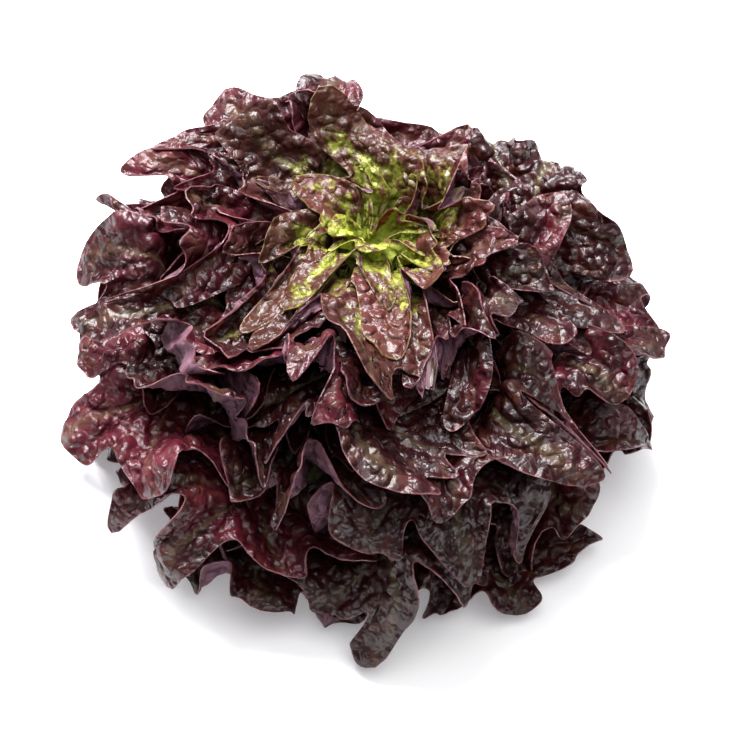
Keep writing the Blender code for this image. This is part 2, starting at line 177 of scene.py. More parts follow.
# The tables that the sheets are kept in
RUN_SAMPLES = 141
RUN_LIMIT = 1.4
SHEET_SAMPLES = 141
SHEET_LOW = -0.2
SHEET_HIGH = 1.2
LEAST_SPACING = 0.01
BEND_ENDS = 1.15

# Fine grid of a leaf: columns a side and rows, and the smaller grid of the leaves nearest the heart
FINE_COLUMNS = 112
FINE_ROWS = 22
HEART_COLUMNS = 66
HEART_ROWS = 19
HEART_LEAVES = 14
TIP_DENSER = 0.35
MIDRIB_DENSER = 0.25

# The seed of the small shapes, and the phases drawn for each leaf, of which the first five are in use
LOOKS_SEED = 29
PHASES = 8

# The small shapes of the margin, in metres for a leaf of the full length. A pair of runs, rows or shares of
# the way up the leaf says where a change begins and ends
BLADE_BEGINS = (0.30, 0.55)
SCALLOP = 0.09
SCALLOPS_A_LOBE = (2.0, 3.3)
SCALLOP_SHARES = (0.6, 0.4)
SCALLOP_POWER = 3.0
SCALLOPS_GROW = (0.15, 0.4)
FRILL_SWING = 0.0042
FRILLS_A_LOBE = (1.6, 3.3)
SECOND_FRILL = 0.4
FRILL_POWER = 2.2
FRILLED_FROM_SHEET = 0.30
HEART_FRILL_SHARE = 0.35
ROLL_SWING = 0.0060
ROLL_ROWS = (0.62, 1.15)
ROLLS_A_LOBE = 0.6
ROLL_MEAN = 0.5
ROLL_VARIES = 0.8

# The blade, its midrib and the veins that run out to its lobes
BLADE_THICKNESS = 0.00055
MIDRIB_HEIGHT = 0.0028
MIDRIB_TIP_HEIGHT = 0.0003
MIDRIB_HALF_WIDTH = 0.0042
MIDRIB_TIP_HALF_WIDTH = 0.0010
MIDRIB_WIDTH_POWER = 1.5
MIDRIB_GROOVE = 0.1
MIDRIB_IN_HEART = 0.3
TIP_RIB_ROW = 0.12
VEIN_HEIGHT = 0.0007
VEIN_HALF_WIDTH = 0.0011
VEIN_SPACING = 0.030
VEIN_GROOVE = 0.5
VEIN_FADE_POWER = 0.6
VEINS_GROW = (0.1, 0.3)
VEIN_PALENESS = 0.8

# Puckers and broad swells between the veins. A pair called scale is a share that stays and one that grows
# with the leaf
PUCKER_CELL = 0.0090
PUCKER_CELL_SCALE = (0.7, 0.3)
PUCKER_HEIGHT = 0.0026
PUCKER_EDGE = 0.4
PUCKER_DOME = 1.3
PUCKER_REACH = 0.7
SWELL_CELL = 0.021
SWELL_HEIGHT = 0.0016
SWELL_EDGE = 0.8
CENTRE_RANGE = (0.1, 0.9)
PUCKERS_BY_MIDRIB = (0.02, 0.16)
PUCKERS_BY_MARGIN = (0.84, 1.0)
MARGIN_FLATNESS = 0.75
LIFT_SCALE = (0.5, 0.5)
UNDER_LIFT = 0.85
INWARD_STEP = 0.01

# How far a fine leaf is moved out through the sheets, in metres, to clear those inside it
FINE_GAP = 0.0014
MOST_PUSH = 0.012
PUSH_SPREADS = 6
FINE_RASTER = (120, 420)

# The leaves' slots, by the sheet that they lie on
HEART_BELOW_SHEET = 0.07
BLUSHED_BELOW_SHEET = 0.22

# Colours of the leaves
MAROON = (0.0185, 0.0026, 0.0040)
MAROON_LIGHT = (0.086, 0.0095, 0.0180)
MAROON_BROWN = (0.082, 0.023, 0.0095)
OLIVE = (0.075, 0.060, 0.016)
LEAF_GREEN = (0.21, 0.195, 0.036)
HEART_GREEN = (0.43, 0.50, 0.060)
MAUVE = (0.150, 0.060, 0.095)
MAUVE_DEEP = (0.085, 0.030, 0.042)
RIB_PALE = (0.55, 0.58, 0.26)
BLUSH = (0.085, 0.028, 0.018)
EDGE_PINK = (0.21, 0.075, 0.085)
GLOW_RED = (0.36, 0.060, 0.050)

# Patterns on the leaves, in waves or cells a metre, and how far the cells are bent, in metres
BROAD_NOISE = 38.0
BLOTCH_NOISE = 120.0
FRECKLE_NOISE = 520.0
GRAIN_NOISE = 1500.0
NET_CELLS = 230.0
FINE_NET_CELLS = 620.0
BUBBLE_CELLS = 160.0
SMALL_BUBBLE_CELLS = 360.0
UNEVEN_NOISE = 90.0
UNEVEN_SHIFT = 0.006

# How red the leaf is. A pair is the value that counts for nothing and the weight of what is above it
RED_BY_SHEET = 6.5
RED_AT_HEART = -0.42
RED_BY_RUN = (0.66, 2.2)
RED_BY_ROW = (0.5, 0.55)
RED_BY_BROAD = (0.5, 1.8)
RED_BY_BLOTCH = (0.5, 2.1)
RED_BY_FRECKLE = (0.5, 1.3)
RED_BY_LIFT = 0.40
RED_BY_VEIN = -0.55

# Where one colour gives way to another: from, to and, where they aren't 0 and 1, the shares at both
GREEN_DARKENS = (0.02, 0.22)
GREEN_TO_OLIVE = (0.25, 0.6)
NET_PALES = (0.0, 0.09, 0.45, 0.0)
LOT_WEIGHT = 0.5
MAROON_LIGHTENS = (0.35, 0.85)
MAROON_BROWNS = (0.45, 0.8, 0.0, 0.6)
BLUSH_FADES = (0.06, 0.30, 0.75, 0.0)
MAUVE_DEEPENS = (0.3, 0.7)
MAUVE_NET = (0.0, 0.12, 0.35, 0.0)
RIB_DARKENS = (0.25, 0.75, 1.0, 0.12)
RIB_SHARE = 0.85
EDGE_ROWS = (0.975, 1.0)
EDGE_PATCHES = (0.35, 0.65, 0.25, 0.8)
EDGE_REDDENS = (0.05, 0.25)

# The skin's bumps, as depth and strength, and its gloss
BUBBLE_DOME = (0.10, 0.75, 1.0, 0.0)
BUBBLE_BUMP = (0.0022, 0.9)
SMALL_BUBBLE_BUMP = (0.0008, 0.38)
SKIN_BUMP = (0.00022, 0.6)
FINE_NET_EDGE = (0.0, 0.25)
FINE_NET_SHARE = 0.35
GRAIN_SHARE = 0.2
ROUGH_ABOVE = 0.33
ROUGH_BELOW = 0.62
ROUGH_BY_BLOTCH = 0.22
LEAF_SPECULAR = 0.42
GLOW_SHARE = (0.0, 0.3, 0.32, 0.16)

# The stem's flesh
STEM_PALE = (0.62, 0.60, 0.33)
STEM_BROWN = (0.42, 0.30, 0.13)
STEM_FIBRE = (0.72, 0.72, 0.48)
STEM_GRAIN = (260.0, 4.0, 0.6)
STEM_SPOTS = (70.0, 3.0, 0.6)
STEM_BROWNS = (0.35, 0.7)
STEM_FIBRES = (0.3, 0.8, 0.0, 0.5)
STEM_BUMP = (0.0006, 0.6)
STEM_ROUGH = (0.2, 0.8, 0.45, 0.7)

# The studio: a pale floor, a sky that brightens overhead, and two soft lights as place, size, power and colour
FLOOR_HALF = 3
FLOOR_COLOUR = (0.92, 0.92, 0.93, 1)
FLOOR_ROUGHNESS = 0.8
FLOOR_GLOW_COLOUR = (0.97, 0.98, 1.0, 1)
FLOOR_GLOW = 0.22
SKY_COLOUR = (0.95, 0.97, 1.0, 1)
SKY_TOWARD = (-0.10, 0.55, 0.83)
SKY_RANGE = (-0.15, 1.0, 0.08, 0.84)
LIGHT_AIM = (0, 0, 0.05)
LIGHTS = {
    "above_behind": ((-0.28, 0.62, 1.10), 0.9, 72, (0.97, 0.97, 1.0)),
    "above_front": ((0.25, -0.35, 1.6), 1.4, 15, (1.0, 0.99, 0.97)),
}
CAMERA_ELEVATION = math.radians(52)
CAMERA_DISTANCE = 1.11
CAMERA_LENS = 106.0
CAMERA_SENSOR = 36
CAMERA_AIM = (0.006, 0.0, 0.044)


def smooth_step(low, high, value):
    share = np.clip((value - low) / (high - low), 0, 1)
    return share * share * (3 - 2 * share)


def station_values(values, sheet):
    """A value given at the stations, rounded off between them and carried on past the ends."""
    shifts = np.linspace(-STATION_ROUNDING, STATION_ROUNDING, ROUNDING_STEPS)
    total = 0
    for shift in shifts:
        at = sheet + shift
        inside = np.interp(at, STATIONS, values)
        low_slope = SLOPE_PAST_HEART * (values[1] - values[0]) / (STATIONS[1] - STATIONS[0])
        high_slope = (values[-1] - values[-2]) / (STATIONS[-1] - STATIONS[-2])
        inside = inside + np.minimum(at, 0) * low_slope + np.maximum(at - 1, 0) * high_slope
        total = total + inside
    return total / len(shifts)


def stem_radius(height):
    share = np.clip(height / STEM_HEIGHT, 0, 1)
    return STEM_FOOT_RADIUS * np.sqrt(1 - share**STEM_DOME_POWER)


def leaf_thickness(sheet, rib):
    """Thickness where rib runs from 0 in the blade to 1 on the midrib at the leaf's foot."""
    return LEAF_THICKNESS + RIB_THICKNESS * np.clip(sheet, 0, 1) ** RIB_AGE_POWER * rib


class SheetFamily:
    """The nested sheets, as tables of radius, height and spacing over (sheet, run)."""

    def __init__(self):
        self.sheets = np.linspace(SHEET_LOW, SHEET_HIGH, SHEET_SAMPLES)
        self.runs = np.linspace(0, RUN_LIMIT, RUN_SAMPLES)
        length = station_values(SHEET_LENGTHS, self.sheets)[:, None]
        rise = np.radians(station_values(RISE_DEGREES, self.sheets))[:, None]
        bend = np.radians(station_values(BEND_DEGREES, self.sheets))[:, None]
        angle = rise + bend * np.minimum(self.runs, BEND_ENDS)[None, :] ** BEND_POWER
        foot_height = LAST_LEAF_HEIGHT + (FIRST_LEAF_HEIGHT - LAST_LEAF_HEIGHT) * self.sheets
        foot_radius = stem_radius(foot_height) + STEM_CLEARANCE + leaf_thickness(self.sheets, 1) / 2
        step = self.runs[1] * length
        self.radius = foot_radius[:, None] + self.summed(np.cos(angle) * step)
        self.height = foot_height[:, None] + self.summed(np.sin(angle) * step)
        across_radius = np.gradient(self.radius, self.sheets, axis=0)
        across_height = np.gradient(self.height, self.sheets, axis=0)
        spacing = across_radius * np.sin(angle) - across_height * np.cos(angle)
        self.spacing = np.maximum(spacing, LEAST_SPACING)
        self.length = length[:, 0]

    @staticmethod
    def summed(steps):
        middle = (steps[:, 1:] + steps[:, :-1]) / 2
        return np.concatenate([np.zeros((len(steps), 1)), np.cumsum(middle, axis=1)], axis=1)

    def read(self, table, run, sheet):
        """The table's value at (run, sheet), interpolated."""
        share = (sheet - SHEET_LOW) / (SHEET_HIGH - SHEET_LOW)
        i = np.clip(share * (SHEET_SAMPLES - 1), 0, SHEET_SAMPLES - 1.001)
        j = np.clip(run / RUN_LIMIT * (RUN_SAMPLES - 1), 0, RUN_SAMPLES - 1.001)
        i0 = i.astype(int)
        j0 = j.astype(int)
        a = i - i0
        b = j - j0
        low = table[i0, j0] * (1 - b) + table[i0, j0 + 1] * b
        high = table[i0 + 1, j0] * (1 - b) + table[i0 + 1, j0 + 1] * b
        return low * (1 - a) + high * a

    def point(self, run, turn, sheet):
        radius = self.read(self.radius, run, sheet)
        height = self.read(self.height, run, sheet)
        return np.stack([radius * np.cos(turn), radius * np.sin(turn), height], axis=-1)


class Flow:
    """A smooth, divergence-free flow of plane waves. Points carried along it never make leaves cross."""

    def __init__(self, random):
        directions = random.normal(size=(FLOW_WAVES, 3))
        directions /= np.linalg.norm(directions, axis=1)[:, None]
        lengths = random.uniform(*FLOW_LENGTHS, FLOW_WAVES)
        self.waves = directions * (2 * math.pi / lengths)[:, None]
        self.push = np.cross(directions, random.normal(size=(FLOW_WAVES, 3)))
        self.push *= math.sqrt(2 / FLOW_WAVES)
        self.phases = random.uniform(0, 2 * math.pi, FLOW_WAVES)

    def speed(self, points):
        swing = np.cos(points @ self.waves.T + self.phases)
        speed = swing @ self.push * FLOW_CARRY
        radius = np.hypot(points[..., 0], points[..., 1])
        speed = speed * smooth_step(*STILL_BY_STEM, radius + STILL_HEIGHT_SHARE * points[..., 2])[..., None]
        speed[..., 2] *= smooth_step(*STILL_BY_FLOOR, points[..., 2])
        return speed

    def carry(self, points):
        for _ in range(FLOW_STEPS):
            half = points + self.speed(points) / (2 * FLOW_STEPS)
            points = points + self.speed(half) / FLOW_STEPS
        return leant(points)


def leant(points):
    """The points with the head widened, the heart leant over and the back of the head filled out."""
    x, y, z = points[..., 0], points[..., 1], points[..., 2]
    spread = smooth_step(*STILL_BY_STEM, np.hypot(x, y))
    x = x * (1 + (WIDTH_STRETCH - 1) * spread)
    y = y * (1 + (DEPTH_STRETCH - 1) * spread)
    heart = smooth_step(*LEAN_HEIGHTS, z) * (1 - smooth_step(*LEAN_REACH, np.hypot(x, y)))
    back = smooth_step(*BACK_DEPTHS, y) * smooth_step(*BACK_HEIGHTS, z)
    x = x + HEART_LEAN[0] * heart + BACK_SHIFT[0] * back
    y = y + HEART_LEAN[1] * heart + BACK_SHIFT[1] * back
    return np.stack([x, y, z * (1 + BACK_RISE * back)], axis=-1)


class Leaf:
    """One leaf. Columns run round its margin from the base, past the tip and back; rows run from its midrib
    out to the margin."""

    def __init__(self, number, random):
        age = 1 - number / (LEAVES - 1)
        self.name = f"leaf_{number + 1:02d}"
        sheet = age - END_CROWDING * math.sin(2 * math.pi * age) / (2 * math.pi)
        self.sheet = 1 - (1 - sheet) ** SKIRT_CROWDING
        self.turn = FIRST_TURN + number * GOLDEN_ANGLE
        self.stretch = 1 + random.uniform(-1, 1) * LEAF_LENGTH_SPREAD
        self.phases = random.uniform(0, 2 * math.pi, 2)
        self.draws = random.uniform(-1, 1, 5)

    def plan(self, length, column, row):
        """The grid's points on the leaf laid flat: x across it and y along it. column is from 0 at the base
        through COLUMNS at the tip to 2 * COLUMNS, and row from 0 at the midrib to 1 at the margin."""
        around = (column - COLUMNS) / COLUMNS
        side = np.sign(around)
        up = 1 - np.abs(around)
        lopsided = SIDES_DIFFER * side * smooth_step(0, SIDES_PART_BY, np.abs(around))
        beat = np.abs(around) * (LOBES + self.draws[0] * lopsided)
        along = MIDRIB_SHARE * up**VEINS_CROWD_TO_TIP
        full = smooth_step(0, FULL_BLADE_FROM_SHEET, self.sheet)
        lobed = smooth_step(0, LOBED_FROM_SHEET, self.sheet)
        widest = BLADE_HALF_WIDTH * (HEART_BLADE_SHARE + (1 - HEART_BLADE_SHARE) * full)
        envelope = PETIOLE_HALF_WIDTH + (widest - PETIOLE_HALF_WIDTH) * smooth_step(*BLADE_WIDENS, up)
        tip = HEART_TIP_VEIN + (TIP_VEIN - HEART_TIP_VEIN) * lobed
        envelope = envelope + (tip - widest) * smooth_step(*BLADE_NARROWS, up)
        envelope = envelope * (1 + self.draws[1] * lopsided)
        depth = (LOBE_DEPTH + LOBE_DEPTH_SPREAD * self.draws[2]) * smooth_step(*LOBES_DEEPEN, up)
        depth = depth * (HEART_LOBE_SHARE + (1 - HEART_LOBE_SHARE) * lobed)
        notch = (0.5 - 0.5 * np.cos(2 * math.pi * beat)) ** SINUS_SHARPNESS
        vein = envelope * (1 - depth * notch) * row
        slant = VEIN_SLANT * (1 - up ** VEIN_FAN[0]) ** VEIN_FAN[1]
        return side * vein * np.sin(slant) * length, (along + vein * np.cos(slant)) * length

    def outline(self, family, column, row):
        """Run, turn, and swing in metres out of the sheet, of the grid's points."""
        sheet_length = float(np.interp(self.sheet, family.sheets, family.length))
        length = sheet_length * self.stretch
        x, y = self.plan(length, column, row)
        run = y / sheet_length
        radius = family.read(family.radius, run, np.full_like(run, self.sheet))
        widest = FOOT_TURN + (BLADE_TURN - FOOT_TURN) * smooth_step(0.0, BLADE_TURN_RUN, run)
        turn = self.turn + widest * np.tanh(x / (radius * widest))
        around = math.pi * (column - COLUMNS) / COLUMNS
        slow_turns = np.interp(self.draws[3], (-1, 1), SLOW_TURNS)
        swing = LOBE_SWING * np.cos(around * LOBES + self.phases[0])
        curl = LOBE_CURL * (1 + LOBE_CURL_SPREAD * self.draws[4])
        swing = swing + curl * np.cos(2 * around * LOBES) + OUTWARD_CURL
        swing = swing + SLOW_SWING * np.cos(around * slow_turns + self.phases[1])
        edge = row**RUFFLE_POWER * smooth_step(*RUFFLES_GROW, run) * length / FULL_LENGTH
        return run, turn, swing * edge


def leaf_grid():
    """Column and row of each point, the triangles as three point numbers, and the rim in order. The columns
    the same way from the tip share their point on the midrib."""
    k, m = COLUMNS, ROWS
    column = list(range(k + 1))
    row = [0] * (k + 1)
    number = {(c, 0): min(c, 2 * k - c) for c in range(2 * k + 1)}
    for c in range(2 * k + 1):
        for r in range(1, m + 1):
            number[c, r] = len(column)
            column.append(c)
            row.append(r)
    faces = []
    for c in range(2 * k):
        for r in range(m):
            a, b = number[c, r], number[c + 1, r]
            d, e = number[c, r + 1], number[c + 1, r + 1]
            if (c < k) == (c % 2 == 0):
                faces += [(a, d, e), (a, e, b)]
            else:
                faces += [(a, d, b), (b, d, e)]
    rim = [number[c, m] for c in range(2 * k + 1)]
    foot = [number[2 * k, r] for r in range(m - 1, 0, -1)] + [0] + [number[0, r] for r in range(1, m)]
    return np.array(column, float), np.array(row, float) / m, np.array(faces), rim + foot


class Stack:
    """Which sheets are taken at each run and turn by the leaves laid so far, heart first."""

    def __init__(self, family):
        self.family = family
        self.taken = np.full((RASTER_RUNS, RASTER_TURNS), -np.inf)

    def cell(self, run, turn):
        i = np.clip((run / RUN_LIMIT * RASTER_RUNS).astype(int), 0, RASTER_RUNS - 1)
        j = np.floor(turn / (2 * math.pi) * RASTER_TURNS).astype(int) % RASTER_TURNS
        return i, j

    @staticmethod
    def samples(faces, count):
        """Weights of the points in samples spread over each triangle."""
        steps = SAMPLES_A_SIDE
        weights = [(a, b, steps - a - b) for a in range(steps + 1) for b in range(steps + 1 - a)]
        weights = np.array(weights) / steps
        table = np.zeros((len(faces) * len(weights), count))
        for f, face in enumerate(faces):
            table[f * len(weights) : (f + 1) * len(weights), face] = weights
        return table

    def push_out(self, run, turn, sheet, faces, half_thickness):
        """Pushes the sheet values out until the leaf clears those inside it."""
        table = self.samples(faces, len(run))
        spread = table / np.maximum(table.max(axis=0), 1e-9)
        at_run = table @ run
        at_turn = table @ turn
        at_half = table @ half_thickness
        cells = self.cell(at_run, at_turn)
        spacing = self.family.read(self.family.spacing, at_run, table @ sheet)
        need = self.taken[cells] + (LEAF_GAP + at_half) / spacing
        for _ in range(SPREAD_ROUNDS):
            short = np.maximum(need - table @ sheet, 0)
            sheet = sheet + (spread * short[:, None]).max(axis=0) * SPREAD_EASE
        return sheet

    def take(self, run, turn, sheet, faces, half_thickness):
        """Marks the sheets that the leaf takes."""
        table = self.samples(faces, len(run))
        at_run = table @ run
        cells = self.cell(at_run, table @ turn)
        spacing = self.family.read(self.family.spacing, at_run, table @ sheet)
        at_sheet = table @ sheet + (table @ half_thickness + 0.5 * LEAF_GAP) / spacing
        for di in (-1, 0, 1):
            for dj in (-1, 0, 1):
                i = np.clip(cells[0] + di, 0, RASTER_RUNS - 1)
                j = (cells[1] + dj) % RASTER_TURNS
                np.maximum.at(self.taken, (i, j), at_sheet)


def point_normals(points, faces):
    """Directions at the points that lie outside every face that meets there, also in a tight fold."""
    corners = points[faces]
    across = np.cross(corners[:, 1] - corners[:, 0], corners[:, 2] - corners[:, 0])
    flat = across / np.maximum(np.linalg.norm(across, axis=1), 1e-12)[:, None]
    normals = summed_at_points(points, faces, [across] * 3)
    for _ in range(NORMAL_ROUNDS):
        normals = normals / np.maximum(np.linalg.norm(normals, axis=1), 1e-12)[:, None]
        above = (normals[faces] * flat[:, None]).sum(axis=2)
        missing = np.maximum(NORMAL_ABOVE_FACE - above, 0)
        normals = normals + summed_at_points(points, faces, [flat * part[:, None] for part in missing.T])
    return normals / np.maximum(np.linalg.norm(normals, axis=1), 1e-12)[:, None]


def summed_at_points(points, faces, vectors):
    """At each point, the sum of the vectors that the corners of its faces bring."""
    total = np.zeros_like(points)
    for corner in range(3):
        np.add.at(total, faces[:, corner], vectors[corner])
    return total


def thin_solid(points, faces, rim, thickness):
    """A thin closed solid's points and triangles: the grid's on its two faces, and a band at the rim."""
    lift = point_normals(points, faces) * thickness[:, None] / 2
    count = len(points)
    triangles = [tuple(int(n) for n in face) for face in faces]
    triangles += [tuple(int(n) + count for n in reversed(face)) for face in faces]
    for a, b in zip(rim, rim[1:] + rim[:1]):
        triangles += [(a, a + count, b + count), (a, b + count, b)]
    return np.concatenate([points + lift, points - lift]), triangles


class Heap:
    """The solids laid so far, which the next leaf has to clear in space."""

    def __init__(self):
        self.points = []
        self.triangles = []

    def add(self, points, triangles):
        start = len(self.points)
        self.points += [tuple(p) for p in points]
        self.triangles += [tuple(start + n for n in triangle) for triangle in triangles]

    def tree(self):
        return BVHTree.FromPolygons(self.points, self.triangles)


def placed(family, flow, run, turn, sheet, thickness):
    """The points of a leaf in space, none lower than a little above what the head rests on."""
    points = flow.carry(family.point(run, turn, sheet))
    points[:, 2] = np.maximum(points[:, 2], LOWEST_LEAF_POINT + thickness / 2)
    return points


def clear_sheets(heap, family, flow, run, turn, sheet, faces, rim, thickness):
    """Pushes the points of a leaf that meets the heap out through the sheets, a little at a time."""
    tree = heap.tree()
    near = [set() for _ in run]
    for face in faces:
        for n in face:
            near[n].update(int(other) for other in face)
    spacing = family.read(family.spacing, run, sheet)
    for _ in range(PUSH_ROUNDS):
        points = placed(family, flow, run, turn, sheet, thickness)
        solid, triangles = thin_solid(points, faces, rim, thickness + 2 * CLEARANCE)
        meets = tree.overlap(BVHTree.FromPolygons([tuple(p) for p in solid], triangles))
        if not meets:
            break
        push = np.zeros(len(run))
        for n in {corner % len(run) for _, triangle in meets for corner in triangles[triangle]}:
            push[n] = 1
        wide = push.copy()
        for n, others in enumerate(near):
            wide[n] = max(push[n], PUSH_ON_NEIGHBOURS * max(push[list(others)]))
        sheet = sheet + wide * PUSH_STEP / spacing
    return sheet


def kept_in_family(sheet):
    """Sheet values that run past the heart or the skirt are drawn back to a little past it."""
    inside = np.clip(sheet, 0, 1)
    return inside + SHEET_OVERRUN * np.tanh((sheet - inside) / SHEET_OVERRUN)


def stem_surface():
    """The stem, turned from its outline: a cut foot with a broken edge, a stump and a domed growing tip."""
    outline = [(0, 0), (STEM_FOOT_RADIUS - STEM_CUT_BEVEL, 0)]
    heights = [STEM_CUT_BEVEL] + [STEM_HEIGHT * share for share in STEM_RING_SHARES]
    outline += [(float(stem_radius(z)), z) for z in heights] + [(0, STEM_HEIGHT)]
    points = []
    rings = []
    for radius, height in outline:
        if radius == 0:
            rings.append([len(points)] * STEM_SIDES)
            points.append((0, 0, height))
            continue
        rings.append([len(points) + s for s in range(STEM_SIDES)])
        for s in range(STEM_SIDES):
            angle = 2 * math.pi * s / STEM_SIDES
            points.append((radius * math.cos(angle), radius * math.sin(angle), height))
    faces = []
    for low, high in zip(rings, rings[1:]):
        for s in range(STEM_SIDES):
            n = (s + 1) % STEM_SIDES
            corners = [low[s], low[n], high[n], high[s]]
            faces.append([c for i, c in enumerate(corners) if c not in corners[:i]])
    return points, faces


def fine_coordinates(k, m):
    """Column and row of the fine grid's points, its quads, its rim in order, and each point's number, all
    counted as in leaf_grid."""
    c, r = np.meshgrid(np.arange(2 * k + 1), np.arange(m + 1), indexing="ij")
    number = k + c * m + r
    number[:, 0] = np.minimum(c[:, 0], 2 * k - c[:, 0])
    column = np.concatenate([np.arange(k + 1), np.repeat(np.arange(2 * k + 1), m)])
    row = np.concatenate([np.zeros(k + 1), np.tile(np.arange(1, m + 1), 2 * k + 1)])
    quads = [number[:-1, :-1], number[:-1, 1:], number[1:, 1:], number[1:, :-1]]
    quads = np.stack(quads, axis=-1).reshape(-1, 4)
    foot = list(number[-1, m - 1 : 0 : -1]) + [0] + list(number[0, 1:m])
    rim = np.array(list(number[:, m]) + foot)
    around = column / k - 1
    around = around * (1 + TIP_DENSER * around**2) / (1 + TIP_DENSER)
    share = row / m
    share = share * (1 - MIDRIB_DENSER + MIDRIB_DENSER * share)
    return COLUMNS * (1 + around), share, quads, rim, number


def cubic_weights(at, count):
    """Weights that carry values at 0, 1 ... count - 1 over to the places given, smoothly."""
    cell = np.clip(at.astype(int), 0, count - 2)
    t = at - cell
    parts = [
        (1 - t) ** 3 / 6,
        (3 * t**3 - 6 * t**2 + 4) / 6,
        (-3 * t**3 + 3 * t**2 + 3 * t + 1) / 6,
        t**3 / 6,
    ]
    weights = np.zeros((len(at), count))
    for shift, part in zip((-1, 0, 1, 2), parts):
        np.add.at(weights, (np.arange(len(at)), np.clip(cell + shift, 0, count - 1)), part)
    return weights


def push_table(push):
    """A leaf's pushes on its coarse grid, as a table over column and row."""
    k, m = COLUMNS, ROWS
    table = np.zeros((2 * k + 1, m + 1))
    table[:, 0] = [push[min(c, 2 * k - c)] for c in range(2 * k + 1)]
    table[:, 1:] = push[k + 1 :].reshape(2 * k + 1, m)
    return table


def carried_push(push, column, row):
    """A leaf's pushes at the fine grid's points, through the three rows of the coarse one."""
    over_columns = cubic_weights(column, 2 * COLUMNS + 1)
    near = 2 * (row - 0.5) * (row - 1)
    middle = 4 * row * (1 - row)
    far = 2 * row * (row - 0.5)
    over_rows = np.stack([near, middle, far], axis=1)
    return np.einsum("pc,cr,pr->p", over_columns, push_table(push), over_rows)


def cells(points, size, random):
    """Nearest and second nearest distance to scattered centres, one in each cube of a grid, in cubes."""
    at = points / size
    home = np.floor(at).astype(int)
    low = home.min(axis=0) - 1
    centres = random.uniform(*CENTRE_RANGE, (*(home.max(axis=0) - low + 2), 3))
    first = np.full(len(points), np.inf)
    second = np.full(len(points), np.inf)
    for shift in np.ndindex(3, 3, 3):
        cube = home + shift - 1
        corner = cube - low
        centre = cube + centres[corner[:, 0], corner[:, 1], corner[:, 2]]
        distance = np.linalg.norm(at - centre, axis=1)
        second = np.minimum(second, np.maximum(first, distance))
        first = np.minimum(first, distance)
    return first, second


def grid_normals(points, quads):
    """Directions at the points, each the mean of its quads' own by their areas."""
    first = points[quads[:, 2]] - points[quads[:, 0]]
    second = points[quads[:, 3]] - points[quads[:, 1]]
    across = np.cross(first, second)
    normals = np.zeros_like(points)
    for axis in range(3):
        for corner in range(4):
            normals[:, axis] += np.bincount(quads[:, corner], across[:, axis], len(points))
    return normals / np.maximum(np.linalg.norm(normals, axis=1), 1e-12)[:, None]


class FineStack:
    """The outermost sheet taken so far at each run and turn by the fine leaves, puckers and all."""

    def __init__(self, family):
        self.family = family
        self.taken = np.full((FINE_RASTER[0] + 1, FINE_RASTER[1]), -np.inf)

    def place(self, run, turn):
        return np.clip(run / RUN_LIMIT, 0, 1) * (FINE_RASTER[0] - 1), turn / (2 * math.pi) * FINE_RASTER[1]

    def clear(self, run, turn, sheet, lift, number):
        """The sheet values moved out, evenly over the grid, until they clear the leaves laid so far."""
        u, v = self.place(run, turn)
        spacing = self.family.read(self.family.spacing, run, sheet)
        taken = self.taken[np.round(u).astype(int), np.round(v).astype(int) % FINE_RASTER[1]]
        short = taken + (FINE_GAP + lift) / spacing - sheet
        short = np.clip(short, 0, MOST_PUSH / spacing)[number]
        for _ in range(PUSH_SPREADS):
            wide = np.pad(short, 1, mode="edge")
            around = (wide[:-2, 1:-1] + wide[2:, 1:-1] + wide[1:-1, :-2] + wide[1:-1, 2:]) / 4
            short = np.maximum(short, around)
        moved = np.zeros(len(run))
        np.maximum.at(moved, number.ravel(), short.ravel())
        return sheet + moved

    def take(self, run, turn, sheet, lift, quads):
        """Marks the sheets that the leaf takes, at each quad's corner, edge, middle and diagonal."""
        u, v = self.place(run, turn)
        spacing = self.family.read(self.family.spacing, run, sheet)
        level = sheet - lift / spacing
        for part in (slice(0, 1), slice(0, 2), slice(0, 4), slice(1, 3)):
            corners = quads[:, part]
            at = level[corners].mean(axis=1)
            i = np.floor(u[corners].mean(axis=1)).astype(int)
            j = np.floor(v[corners].mean(axis=1)).astype(int)
            for di, dj in ((0, 0), (0, 1), (1, 0), (1, 1)):
                np.maximum.at(self.taken, (i + di, (j + dj) % FINE_RASTER[1]), at)


